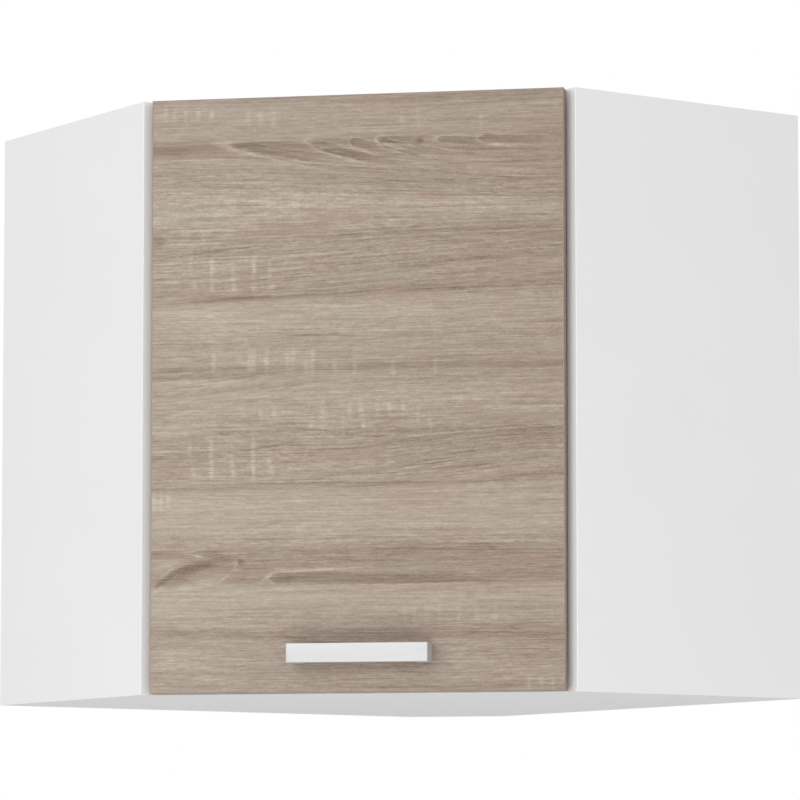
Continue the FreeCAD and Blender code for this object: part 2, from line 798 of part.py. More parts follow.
hanger_outer = inner_side - hanger_gap
hanger_inner = hanger_outer - hanger_width
hanger_rear = back_front + hanger_gap
hanger_front = hanger_rear + hanger_depth
hanger_top = carcass_height - board_thickness - hanger_gap
hanger_middle = hanger_top - hanger_height / 2
hanger_centre = (hanger_outer + hanger_inner) / 2


def hanger_lug_places():
    y = (hanger_rear + hanger_front) / 2
    return [(y - hanger_lug_spacing / 2, hanger_middle), (y + hanger_lug_spacing / 2, hanger_middle)]


def hanger_lug_holes():
    radius = hanger_lug_radius + fastener_clearance
    depth = hanger_lug_length + fastener_clearance
    return [rod((inner_side, y, z), (1, 0, 0), radius, depth) for y, z in hanger_lug_places()]


def hook_slot():
    half_width = hook_thickness / 2 + hook_slot_clearance
    half_height = hook_height / 2 + carriage_lift + hook_slot_clearance
    return block((hanger_centre - half_width, back_recess - overrun, hanger_middle - half_height),
                 (hanger_centre + half_width, back_front + overrun, hanger_middle + half_height))


def hanger_screw_places():
    return [hanger_middle - hanger_height / 4, hanger_middle + hanger_height / 4]


def hanger_case():
    low = hanger_middle - hanger_height / 2
    case = block((hanger_inner, hanger_rear, low), (hanger_outer, hanger_front, hanger_top))
    cavity = block((hanger_inner + hanger_wall, hanger_rear - overrun, low + hanger_wall),
                   (hanger_outer - hanger_wall, hanger_front - hanger_wall, hanger_top - hanger_wall))
    front = hanger_front - hanger_wall / 2
    case = rounded(case, hanger_wall / 2, lambda at: at.y > front)
    case = case.cut(cavity)
    for y, z in hanger_lug_places():
        start = (hanger_outer - hanger_wall / 2, y, z)
        case = case.fuse(rod(start, (1, 0, 0), hanger_lug_radius, hanger_lug_length + hanger_wall / 2))
    for z in hanger_screw_places():
        start = (hanger_centre, hanger_front - hanger_wall - overrun, z)
        radius = hanger_screw_radius + fastener_clearance
        case = case.cut(rod(start, (0, 1, 0), radius, hanger_wall + 2 * overrun))
    return case.removeSplitter()


def hanger_carriage():
    half_width = hanger_width / 2 - hanger_wall - carriage_clearance
    half_height = hanger_height / 2 - hanger_wall - carriage_lift - carriage_clearance
    rear = hanger_rear + carriage_clearance
    body = block((hanger_centre - half_width, rear, hanger_middle - half_height),
                 (hanger_centre + half_width, rear + carriage_depth, hanger_middle + half_height))
    slot_half = hook_thickness / 2 + carriage_clearance
    slot_rise = hook_height / 2 + carriage_clearance
    slot = block((hanger_centre - slot_half, rear - overrun, hanger_middle - slot_rise),
                 (hanger_centre + slot_half, rear + carriage_depth + overrun, hanger_middle + slot_rise))
    return body.cut(slot)


def hanger_hook():
    # A plate on edge whose nose drops over the rail on the wall
    tip = back_recess - hook_reach
    low = hanger_middle - hook_height / 2
    high = hanger_middle + hook_height / 2
    notch = tip + hook_notch_wall
    tail = hanger_front - hanger_wall - hanger_screw_tip - hook_travel - carriage_clearance
    outline = [(tip, low), (notch, low), (notch, low + hook_notch_depth),
               (notch + hook_notch_width, low + hook_notch_depth), (notch + hook_notch_width, low),
               (tail, low), (tail, high), (tip, high)]
    x = hanger_centre - hook_thickness / 2
    points = [Vector(x, y, z) for y, z in outline]
    return Part.Face(Part.makePolygon(points + points[:1])).extrude(Vector(hook_thickness, 0, 0))


def make_hangers():
    parts = {"hanger_case": hanger_case(), "hanger_carriage": hanger_carriage(), "hanger_hook": hanger_hook()}
    for name, shape in parts.items():
        left = placed(shape, corner_frame)
        keep("left_" + name, left)
        keep("right_" + name, other_side(left))
    screws = []
    for z in hanger_screw_places():
        head = rod((hanger_centre, hanger_front, z), (0, 1, 0), hanger_screw_head_radius, hanger_screw_head)
        length = hanger_wall + hanger_screw_tip
        shank = rod((hanger_centre, hanger_front, z), (0, -1, 0), hanger_screw_radius, length)
        slot = block((hanger_centre - hanger_screw_head_radius, hanger_front + hanger_screw_head / 2,
                      z - hanger_screw_tip / 2),
                     (hanger_centre + hanger_screw_head_radius, hanger_front + hanger_screw_head + overrun,
                      z + hanger_screw_tip / 2))
        screws.append(placed(head.fuse(shank).cut(slot).removeSplitter(), corner_frame))
    keep("hanger_adjusting_screws", *(screws + [other_side(screw) for screw in screws]))


make_side_panels()
make_side_bands()
make_horizontal_boards()
make_rear_corner_board()
make_back_panels()
make_joinery()
make_cam_caps()
make_door()
make_door_bands()
make_bumpers()
make_hinge_cups()
make_hinge_arms()
make_handle()
make_shelf()
make_shelf_pins()
make_hangers()

os.makedirs("parts", exist_ok=True)
for name, shape in nodes.items():
    shape.exportStep("parts/" + name + ".step")

print(len(nodes), "pieces")
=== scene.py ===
import math
import json
import bpy
import bmesh
from mathutils import Matrix, Vector


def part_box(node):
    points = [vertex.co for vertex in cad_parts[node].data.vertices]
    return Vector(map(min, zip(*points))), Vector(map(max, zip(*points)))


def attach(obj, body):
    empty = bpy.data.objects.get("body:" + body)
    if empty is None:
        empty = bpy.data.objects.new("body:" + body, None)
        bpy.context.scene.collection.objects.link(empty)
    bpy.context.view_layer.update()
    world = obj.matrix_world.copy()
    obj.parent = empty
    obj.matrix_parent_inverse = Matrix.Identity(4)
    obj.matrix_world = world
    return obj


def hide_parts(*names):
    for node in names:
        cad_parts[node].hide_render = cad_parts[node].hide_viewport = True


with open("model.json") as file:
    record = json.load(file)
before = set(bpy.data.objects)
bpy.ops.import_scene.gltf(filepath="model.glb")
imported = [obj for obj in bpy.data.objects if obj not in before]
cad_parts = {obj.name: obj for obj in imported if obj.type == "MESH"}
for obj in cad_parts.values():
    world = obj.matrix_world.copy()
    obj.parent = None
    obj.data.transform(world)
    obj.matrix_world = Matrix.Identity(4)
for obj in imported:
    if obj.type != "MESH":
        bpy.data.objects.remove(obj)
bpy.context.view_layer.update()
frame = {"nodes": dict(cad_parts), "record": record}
nodes = frame["nodes"]

# the photograph: where the corners of the door's front lie in it, in pixels, and the
# column of the door's middle
photo = {
    "doorTopLeft": (152.3, 99.3),
    "doorTopRight": (564.1, 85.1),
    "doorBottomLeft": (154.0, 696.3),
    "doorBottomRight": (563.2, 692.9),
    "doorMiddle": 358,
}
bandLow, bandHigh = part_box("door_edge_bands")


def fromPhoto(column, row):
    # x and z, on the door's front, of a place in the photograph
    topLeft, topRight = photo["doorTopLeft"], photo["doorTopRight"]
    bottomLeft, bottomRight = photo["doorBottomLeft"], photo["doorBottomRight"]
    across = (column - topLeft[0]) / (topRight[0] - topLeft[0])
    top = topLeft[1] + (topRight[1] - topLeft[1]) * across
    bottom = bottomLeft[1] + (bottomRight[1] - bottomLeft[1]) * across
    up = (bottom - row) / (bottom - top)
    x = bandLow.x + (bandHigh.x - bandLow.x) * across
    return x, bandLow.z + (bandHigh.z - bandLow.z) * up


def bodyOf(node):
    for body, members in frame["record"]["behaviour"]["bodies"].items():
        if node in members:
            return body


def slotOf(node):
    for part in frame["record"]["subparts"]:
        if part["node"] == node:
            return part["material_slot"]


# camera

camera = {
    "place": (0.8460, -4.5726, -0.2041),
    "turn": 10.5653,
    "tilt": 5.4413,
    "lens": 198.47,
    "sensor": 36,
    "shift": 0.0991,
}


def makeCamera():
    turned = (math.radians(90 + camera["tilt"]), 0, math.radians(camera["turn"]))
    bpy.ops.object.camera_add(location=camera["place"], rotation=turned)
    made = bpy.context.object
    made.data.lens = camera["lens"]
    made.data.sensor_width = camera["sensor"]
    made.data.shift_y = camera["shift"]
    bpy.context.scene.camera = made


# shader maths on wrapped sockets


class Shade:
    def __init__(self, tree, socket=None):
        self.tree = tree
        self.socket = socket

    def node(self, kind, settings, values, output=0):
        made = self.tree.nodes.new(kind)
        for name, value in settings.items():
            if name == "stops":
                ramp = made.color_ramp
                while len(ramp.elements) < len(value):
                    ramp.elements.new(1)
                for element, (place, colour) in zip(ramp.elements, value):
                    element.position = place
                    element.color = colour
            else:
                setattr(made, name, value)
        for name, value in values.items():
            if isinstance(value, Shade):
                self.tree.links.new(value.socket, made.inputs[name])
            else:
                made.inputs[name].default_value = value
        return Shade(self.tree, made.outputs[output])

    def math(self, operation, *values):
        return self.node("ShaderNodeMath", {"operation": operation}, dict(enumerate(values)))

    def __add__(self, other):
        return self.math("ADD", self, other)

    def __radd__(self, other):
        return self.math("ADD", other, self)

    def __sub__(self, other):
        return self.math("SUBTRACT", self, other)

    def __rsub__(self, other):
        return self.math("SUBTRACT", other, self)

    def __mul__(self, other):
        return self.math("MULTIPLY", self, other)

    def __rmul__(self, other):
        return self.math("MULTIPLY", other, self)


def linear(red, green, blue):
    # a colour written as 0 to 255, as screens show it
    parts = []
    for part in (red, green, blue):
        part = part / 255
        parts.append(part / 12.92 if part <= 0.04045 else ((part + 0.055) / 1.055) ** 2.4)
    return (*parts, 1)


def grey(level):
    return (level, level, level, 1)


def smooth(value, low, high):
    # 0 below low, 1 above high, soft between
    settings = {"interpolation_type": "SMOOTHSTEP"}
    return value.node("ShaderNodeMapRange", settings, {0: value, 1: low, 2: high})


def between(value, low, high, soft):
    # 1 from low to high, soft at both ends
    return smooth(value, low - soft, low + soft) * (1 - smooth(value, high - soft, high + soft))


def mixed(factor, first, second):
    # from the first colour to the second, which are inputs 6 and 7 of a colour mix
    values = {0: factor, 6: first, 7: second}
    return factor.node("ShaderNodeMix", {"data_type": "RGBA"}, values, 2)


def joined(x, y, z):
    return z.node("ShaderNodeCombineXYZ", {}, {0: x, 1: y, 2: z})


def noise(start, place, scale=1.0, detail=2.0, rough=0.5):
    values = {"Vector": place, "Scale": scale, "Detail": detail, "Roughness": rough}
    return start.node("ShaderNodeTexNoise", {"noise_dimensions": "3D"}, values)


def emptyMaterial(name, **constants):
    # a principled surface; constants go straight on its sockets
    made = bpy.data.materials.new(name)
    made.use_nodes = True
    surface = made.node_tree.nodes["Principled BSDF"]
    for label, value in constants.items():
        surface.inputs[label.replace("_", " ")].default_value = value
    return made, surface, Shade(made.node_tree)


def objectPlace(start):
    place = start.node("ShaderNodeTexCoord", {}, {}, 3)
    apart = [start.node("ShaderNodeSeparateXYZ", {}, {0: place}, part) for part in range(3)]
    return place, *apart


def wire(surface, start, **links):
    for label, value in links.items():
        start.tree.links.new(value.socket, surface.inputs[label.replace("_", " ")])


def bumped(start, height, strength, distance):
    values = {"Height": height, "Strength": strength, "Distance": distance}
    return start.node("ShaderNodeBump", {}, values)


# white melamine on the carcass boards

melamine = {
    "colour": linear(238, 238, 238),
    "shade": linear(233, 233, 233),
    "roughness": 0.42,
    "roughnessSpread": 0.1,
    "grainScale": 900,
    "cloudScale": 6,
    "cloudDetail": 3,
    "coatRoughness": 0.3,
    "bumpStrength": 0.12,
    "bumpDistance": 0.0002,
}


def whiteMelamine():
    coat = melamine["coatRoughness"]
    made, surface, start = emptyMaterial("whiteMelamine", Coat_Roughness=coat)
    place = objectPlace(start)[0]
    cloud = noise(start, place, melamine["cloudScale"], melamine["cloudDetail"])
    fine = noise(start, place, melamine["grainScale"])
    wire(surface, start,
         Base_Color=mixed(cloud, melamine["colour"], melamine["shade"]),
         Roughness=melamine["roughness"] + melamine["roughnessSpread"] * (fine - 0.5),
         Normal=bumped(start, fine, melamine["bumpStrength"], melamine["bumpDistance"]))
    return made


# oak decor of the door: its bands from the top down, its knot, tongues and saw marks

oak = {
    "line": linear(106, 88, 74),
    "dark": linear(131, 112, 97),
    "mid": linear(152, 136, 121),
    "light": linear(172, 159, 145),
    "gleam": linear(193, 184, 169),
    "green": linear(154, 147, 129),
    "pink": linear(160, 134, 122),
}

# row in the photograph at the door's middle, and tone from 0 dark to 1 light; a ramp
# takes 32 stops, so a second list goes on below the first
oakTones = [
    (84, 0.46), (92, 0.42), (99, 0.5), (107, 0.68), (117, 0.62), (132, 0.62), (137, 0.42),
    (146, 0.35), (155, 0.4), (162, 0.52), (178, 0.5), (190, 0.6), (201, 0.76), (212, 0.82),
    (222, 0.68), (232, 0.46), (247, 0.44), (257, 0.6), (268, 0.5), (280, 0.58), (288, 0.42),
    (296, 0.36), (299, 0.64), (310, 0.82), (326, 0.76), (342, 0.62), (354, 0.68), (364, 0.58),
    (366, 0.34), (374, 0.28), (376, 0.58), (396, 0.76),
]
oakTonesBelow = [
    (396, 0.76), (410, 0.68), (426, 0.56), (440, 0.44), (452, 0.48), (462, 0.6), (474, 0.5),
    (482, 0.58), (484, 0.36), (487, 0.4), (490, 0.66), (504, 0.82), (516, 0.76), (530, 0.82),
    (536, 0.68), (546, 0.62), (553, 0.34), (572, 0.34), (585, 0.28), (587, 0.7), (600, 0.82),
    (610, 0.72), (620, 0.62), (629, 0.56), (633, 0.28), (639, 0.3), (643, 0.48), (656, 0.6),
    (668, 0.56), (680, 0.6), (689, 0.42), (696, 0.5),
]

# how strong the grain's fine strands are, row by row
oakCoarse = [
    (90, 0.7), (150, 0.65), (168, 0.8), (180, 1.0), (205, 1.0), (236, 0.95), (262, 1.0),
    (284, 0.95), (300, 0.75), (334, 0.85), (350, 0.8), (380, 0.75), (425, 0.9), (440, 1.0),
    (476, 1.0), (495, 0.65), (530, 0.7), (545, 0.9), (580, 0.7), (604, 0.7), (640, 0.85),
    (700, 0.9),
]

# soft strokes darker or lighter than their rows:
# column and row of the middle, half width, half height, rise in degrees, tone
oakPatches = [
    (200, 104, 60, 8, 0, 0.2), (200, 118, 70, 8, 0, -0.08), (470, 115, 100, 14, 0, 0.08),
    (520, 151, 70, 9, 0, 0.14), (210, 162, 70, 5, 0, 0.14), (560, 200, 60, 14, 0, -0.2),
    (210, 218, 70, 5, 0, -0.16), (540, 240, 90, 12, 0, -0.12), (190, 262, 50, 16, 0, 0.08),
    (180, 290, 60, 4, 0, 0.14), (210, 302, 80, 3, 3, -0.3), (190, 324, 70, 16, 0, 0.04),
    (560, 320, 70, 16, 0, -0.16), (190, 384, 80, 12, 0, 0.16), (530, 380, 90, 14, 0, -0.14),
    (510, 442, 110, 24, 0, -0.16), (200, 425, 90, 14, 0, 0.14), (180, 500, 60, 12, 0, 0.06),
    (200, 556, 70, 8, 0, -0.06), (215, 628, 80, 14, 0, 0.16), (400, 634, 100, 5, 0, -0.14),
    (230, 690, 90, 12, 0, 0.06), (195, 660, 60, 12, 0, 0.1), (540, 604, 60, 14, 0, -0.12),
    (430, 620, 70, 8, 0, -0.12), (540, 655, 60, 24, 0, -0.08), (300, 552, 80, 6, 0, -0.1),
    (206, 568, 36, 7, 12, -0.9), (168, 582, 20, 4, 34, -0.8), (186, 577, 20, 8, 26, -0.5),
    (218, 556, 18, 6, 0, -0.35), (205, 586, 30, 6, 12, 0.55), (168, 568, 26, 8, 10, 0.5),
    (246, 576, 26, 12, 0, -0.3), (288, 581, 18, 6, 0, -0.4), (326, 580, 56, 8, 0, -0.3),
    (410, 580, 70, 7, 1, -0.3), (158, 243, 12, 6, 0, -0.6), (422, 140, 6, 4, 0, -0.9),
    (243, 564, 5, 4, 0, -0.9), (450, 95, 110, 5, 1, -0.16), (170, 150, 90, 8, 0, -0.5),
    (280, 147, 60, 8, -5, -0.4), (345, 151, 60, 7, -9, -0.3),
]

# thin lines of the grain, in the same terms, and how much wider, higher and stronger
# they are drawn
lineGain = (1.1, 1.2, 1.4)
oakLines = [
    (230, 95, 70, 1.3, 2, -0.3), (500, 99, 120, 1.2, 2, -0.3), (260, 158, 110, 1.2, -4, -0.35),
    (430, 171, 120, 1.2, -5, -0.3), (350, 182, 80, 1.0, -1, -0.45), (470, 194, 90, 1.1, -3, -0.35),
    (230, 187, 70, 1.1, -2, -0.35), (310, 237, 100, 1.2, 0, -0.3), (480, 229, 90, 1.2, 0, -0.3),
    (220, 252, 80, 1.1, 6, -0.35), (330, 256, 90, 1.1, 6, -0.35), (400, 268, 120, 1.0, 5, -0.3),
    (240, 300, 100, 1.3, 3, -0.4), (330, 295, 200, 1.4, 3, -0.3), (470, 288, 110, 1.2, 2, -0.35),
    (320, 337, 80, 1.0, -1, -0.4), (210, 346, 70, 1.1, -1, -0.4), (500, 346, 70, 1.0, 0, -0.3),
    (330, 343, 60, 1.0, 1, -0.3), (240, 380, 80, 1.0, 6, -0.4), (300, 386, 100, 1.0, 5, -0.3),
    (300, 431, 60, 1.2, -6, -0.45), (370, 438, 60, 1.1, -4, -0.4), (270, 450, 40, 1.3, 9, -0.45),
    (480, 452, 90, 1.2, 7, -0.35), (400, 470, 110, 1.1, 6, -0.35), (490, 466, 70, 1.2, 7, -0.35),
    (360, 485, 215, 1.1, 0, -0.45), (300, 541, 110, 1.0, 0, -0.4), (480, 546, 90, 1.1, 0, -0.3),
    (360, 586, 215, 1.2, 0.3, -0.4), (430, 552, 100, 1.2, -1, -0.3), (250, 612, 70, 1.0, 0, -0.25),
    (490, 626, 80, 1.2, 0, -0.3), (340, 639, 110, 1.4, 0, -0.3), (200, 634, 60, 1.2, -1, -0.3),
    (440, 689, 120, 1.1, 0, -0.3), (230, 676, 80, 1.0, 0, -0.25), (500, 161, 60, 1.0, 0, -0.3),
    (500, 148, 60, 1.0, -3, -0.3), (300, 172, 90, 1.0, -3, -0.25), (520, 178, 50, 1.1, -8, -0.3),
    (262, 153, 38, 1.3, -12, 0.4), (312, 162, 46, 1.3, -7, 0.36), (334, 149, 26, 1.2, -14, 0.36),
    (402, 147, 26, 1.4, -15, 0.42), (450, 156, 60, 1.4, -5, 0.4), (440, 147, 34, 1.2, -13, 0.3),
    (500, 143, 26, 1.2, -12, 0.34), (200, 160, 60, 1.2, -2, 0.3), (390, 168, 90, 1.2, -6, 0.26),
    (325, 572, 50, 1.2, 2, 0.42), (430, 571, 40, 1.0, 0, 0.3), (472, 574, 12, 1.4, -8, 0.3),
]

# short lines round the knot and the tongues, drawn as they stand
oakRims = [
    (201, 559, 18, 1.7, -13, 0.95), (194, 554.5, 11, 1.4, 4, 0.8), (172, 574, 14, 1.3, 30, 0.4),
    (238.5, 568, 7, 1.6, 66, 0.66), (227, 580, 11, 1.6, 36, 0.6), (239, 573, 9, 1.3, 8, 0.5),
    (267.5, 581.5, 10, 1.8, 40, 0.66), (262, 561, 24, 1.2, 2, 0.4), (370, 152, 16, 1.5, -22, 0.44),
    (400, 159, 24, 1.5, -9, 0.44), (398, 147.5, 16, 1.5, -20, 0.44), (430, 155.5, 26, 1.5, -9, 0.4),
    (480, 159.5, 36, 1.4, -2, 0.34), (412, 153, 18, 1.4, -14, -0.4), (440, 158.5, 24, 1.3, -6, -0.34),
    (462, 150.5, 24, 1.4, -10, 0.4), (500, 154, 30, 1.4, -2, 0.34), (470, 152.5, 16, 1.4, -8, -0.44),
    (505, 143.8, 24, 1.5, -5, 0.4), (500, 147, 30, 1.4, -3, -0.34),
]

# stretches where the grain runs aslant: top row, bottom row, from and to column, and
# fall in pixels
oakSlants = [
    (150, 200, 200, 570, 16),
    (240, 290, 150, 570, -14),
    (376, 404, 150, 330, -8),
    (430, 484, 330, 570, -14),
]

# rows of pale saw marks across the grain: middle row, half height, tone, columns
oakMarks = [
    (113, 10, 0.4, (166, 175, 186, 199, 213)),
    (118, 12, 0.3, (250, 262, 275, 404, 420, 482)),
    (264, 16, 0.42, (192, 213.6, 256)),
    (276, 18, 0.36, (213, 234.5, 255.5, 272)),
    (288, 10, 0.36, (196, 214, 236, 256, 275)),
    (364, 18, 0.44, (215.3, 251.5, 256, 268.5, 290, 295, 315)),
    (368, 13, 0.42, (309, 337, 357, 395, 437)),
    (412, 13, 0.38, (325, 352, 363, 380, 391.5, 405)),
    (416, 9, 0.34, (263, 277, 420)),
    (428, 12, 0.34, (313, 345, 366, 432)),
    (451, 16, 0.42, (192, 213, 256)),
    (464, 20, 0.36, (213.7, 234.5, 255.4, 272)),
    (476, 10, 0.36, (195.7, 214, 236, 256, 275)),
    (502, 16, 0.34, (156, 163, 170)),
    (618, 13, 0.26, (407, 416, 428, 441, 460, 478, 496)),
    (686, 12, 0.38, (528, 541, 552)),
]

# dark tongues with a pale rim and a round tip to the left: column and row of the tip,
# length of the round part, height, rise, where it fades out, depth, rim
oakTongues = [
    (229, 142.5, 26, 7, -2, 322, 0.34, 0.22),
    (233, 144, 30, 9, -10, 336, 0.3, 0.3),
    (250, 148, 36, 8, -13, 330, 0.16, 0.26),
    (309, 139.5, 12, 7, -3, 362, 0.32, 0.24),
    (313, 142, 16, 9, -17, 372, 0.3, 0.3),
    (326, 148, 30, 8, -12, 400, 0.2, 0.3),
    (352, 140, 6, 9, -14, 386, 0.32, 0.3),
    (379, 138.5, 7, 7, -5, 420, 0.3, 0.34),
    (381, 140, 9, 8, -18, 425, 0.26, 0.34),
    (439, 138, 8, 8, -4, 486, 0.34, 0.34),
    (480, 137, 9, 8, -3, 566, 0.27, 0.36),
    (273, 580, 10, 11, 0, 440, 0.2, 0.3),
]

# the edges of a tongue, as distances from its middle line over its half height
tongueEdge = {
    "dark": (0.8, 1.05),
    "pale": (1.15, 1.8),
    "fadeFrom": 0.2,
    "faraway": 99,
}

# the noises of the grain: scale across, scale up, and weight
strands = {
    "streak": (4, 60, 0.07),
    "strand": (8, 130, 0.1),
    "fibre": (9, 300, 0.32),
    "thread": (12, 780, 1.75),
    "fleck": (85, 560, 1.4),
    "pore": (320, 900, 1.1),
}

# the rest of the oak; wander and ripple are noises too, whose third value is how many
# metres they move the grain by
grain = {
    "wander": (2.4, 8, 0.002),
    "ripple": (34, 90, 0.0034),
    "ripplePassed": 0.25,
    "ragged": 0.0034,
    "slantSoft": 0.25,
    "seamSoft": 0.001,
    "strandRough": 0.55,
    "lean": 0.2,
    "base": 0.25,
    "spread": 0.5,
    "markWidth": 3.6,
    "markShift": 3,
    "markBreaks": (0.75, 1.0),
    "markLeast": 0.4,
    "tint": (9, 70),
    "tintDetail": 3,
    "tintRough": 0.65,
    "tintShare": 0.35,
    "greenFrom": (0.5, 0.72),
    "pinkFrom": (0.48, 0.3),
    "coatRoughness": 0.4,
    "roughness": 0.5,
    "roughnessSpread": 0.15,
    "bumpStrength": 0.2,
    "bumpDistance": 0.0002,
}


def pixel():
    # one pixel of the photograph, in metres on the door
    return (bandHigh.x - bandLow.x) / (photo["doorTopRight"][0] - photo["doorTopLeft"][0])


def toneOf(value, tones):
    # a soft ramp over the door's height; 0 is the lowest row listed
    heights = [fromPhoto(photo["doorMiddle"], row)[1] for row, tone in tones]
    high, low = heights[0], heights[-1]
    stops = []
    for height, (row, tone) in zip(reversed(heights), reversed(tones)):
        stops.append(((height - low) / (high - low), grey(tone)))
    share = value.node("ShaderNodeMapRange", {}, {0: value, 1: low, 2: high})
    return value.node("ShaderNodeValToRGB", {"stops": stops}, {0: share})


def oakFlow(start, x, z, ripple):
    # where each point lies across the grain
    across, up, by = grain["wander"]
    wander = noise(start, joined(x * across, 0.0, z * up))
    flow = z + (wander - 0.5) * by + ripple
    for top, bottom, left, right, fall in oakSlants:
        leftX, high = fromPhoto(left, top)
        rightX, low = fromPhoto(right, bottom)
        inRows = between(z, low, high, (high - low) * grain["slantSoft"])
        flow = flow + inRows * (fall * pixel()) * (smooth(x, leftX, rightX) - 0.5)
    return flow


def oakLocal(place, column, row, wide, high, rise):
    # centred on a place in the photograph, one unit for each half size, turned to its rise
    middleX, middleZ = fromPhoto(column, row)
    values = {
        "Vector": place,
        "Location": (middleX, 0, middleZ),
        "Rotation": (0, -math.radians(rise), 0),
        "Scale": (wide * pixel(), 1, high * pixel()),
    }
    return place.node("ShaderNodeMapping", {"vector_type": "TEXTURE"}, values)


def oakStroke(figure, place, column, row, wide, high, rise, tone):
    # a soft ellipse, added to the figure
    local = oakLocal(place, column, row, wide, high, rise)
    cone = local.node("ShaderNodeTexGradient", {"gradient_type": "SPHERICAL"}, {0: local}, 1)
    return cone.math("MULTIPLY_ADD", cone, tone, figure)


def oakTongue(figure, place, column, row, tip, height, rise, end, depth, rim):
    # dark inside, a pale rim outside, fading out along its length
    turn = math.radians(rise)
    middle = (column + tip * math.cos(turn), row - tip * math.sin(turn))
    local = oakLocal(place, *middle, tip, height / 2, rise)

    # right of the round tip, only the height off the middle line counts
    cap = (0, tongueEdge["faraway"], tongueEdge["faraway"])
    capped = local.node("ShaderNodeVectorMath", {"operation": "MINIMUM"}, {0: local, 1: cap})
    off = capped.node("ShaderNodeVectorMath", {"operation": "LENGTH"}, {0: capped}, 1)
    inside, outside = tongueEdge["dark"]
    dark = off.node("ShaderNodeMapRange", {}, {0: off, 1: inside, 2: outside, 3: -depth, 4: 0.0})
    near, far = tongueEdge["pale"]
    pale = off.node("ShaderNodeMapRange", {}, {0: off, 1: near, 2: far, 3: rim, 4: 0.0})
    pale = pale * off.math("GREATER_THAN", off, outside)
    along = local.node("ShaderNodeSeparateXYZ", {}, {0: local})
    last = abs(end - column) / tip
    return figure + (dark + pale) * smooth(along, last, last * tongueEdge["fadeFrom"])


def oakFigure(place):
    # what has a place of its own on the door
    figure = 0.0
    for tongue in oakTongues:
        figure = oakTongue(figure, place, *tongue)
    for stroke in oakPatches + oakRims:
        figure = oakStroke(figure, place, *stroke)
    wider, higher, stronger = lineGain
    for column, row, wide, high, rise, tone in oakLines:
        size = (wide * wider, high * higher)
        figure = oakStroke(figure, place, column, row, *size, rise, tone * stronger)
    return figure


def oakMarkFigure(place):
    # the pale saw marks
    figure = 0.0
    for row, high, tone, columns in oakMarks:
        for column in columns:
            figure = oakStroke(figure, place, column, row, grain["markWidth"], high, 0, tone)
    return figure


def oakLaminate():
    made, surface, start = emptyMaterial("oakLaminate", Coat_Roughness=grain["coatRoughness"])
    x, y, z = objectPlace(start)[1:]
    across, up, by = grain["ripple"]
    ripple = (noise(start, joined(x * across, y, z * up)) - 0.5) * by
    flow = oakFlow(start, x, z, ripple * grain["ripplePassed"])

    # bands, then the strands on them, then a slight darkening to the right
    seam = fromPhoto(photo["doorMiddle"], oakTonesBelow[0][0])[1]
    upper = smooth(flow, seam - grain["seamSoft"], seam + grain["seamSoft"])
    tone = mixed(upper, toneOf(flow, oakTonesBelow), toneOf(flow, oakTones))
    noises = {}
    coarse = 0.0
    for kind, (across, up, weight) in strands.items():
        place = joined(x * across, y * across, flow * up)
        noises[kind] = noise(start, place, rough=grain["strandRough"])
        coarse = coarse + (noises[kind] - 0.5) * weight
    tone = tone + coarse * toneOf(flow, oakCoarse)
    tone = tone - grain["lean"] * (smooth(x, bandLow.x, bandHigh.x) - 0.5)

    # the knot, tongues and lines with ragged edges, and the broken saw marks
    height = noises["fibre"] + noises["thread"]
    ragged = (height - 1.0) * grain["ragged"]
    tone = tone + oakFigure(joined(x, 0.0, z + ripple + ragged))
    shift = (noises["thread"] - 0.5) * (grain["markShift"] * pixel())
    least = grain["markLeast"]
    broken = smooth(height, *grain["markBreaks"]) * (1 - least) + least
    tone = tone + oakMarkFigure(joined(x + shift, 0.0, z)) * broken

    # the tone picks a colour, which is tinted in places
    names = ("line", "dark", "mid", "light", "gleam")
    stops = [(step / (len(names) - 1), oak[name]) for step, name in enumerate(names)]
    share = tone * grain["spread"] + grain["base"]
    colour = start.node("ShaderNodeValToRGB", {"stops": stops}, {0: share})
    across, up = grain["tint"]
    place = joined(x * across, y, flow * up)
    tint = noise(start, place, detail=grain["tintDetail"], rough=grain["tintRough"])
    for name, edge in (("green", "greenFrom"), ("pink", "pinkFrom")):
        colour = mixed(smooth(tint, *grain[edge]) * grain["tintShare"], colour, oak[name])
    wire(surface, start,
         Base_Color=colour,
         Roughness=grain["roughness"] + (noises["fibre"] - 0.5) * grain["roughnessSpread"],
         Normal=bumped(start, height, grain["bumpStrength"], grain["bumpDistance"]))
    return made


# plain finishes: two near colours in a fine noise, which is the bump too

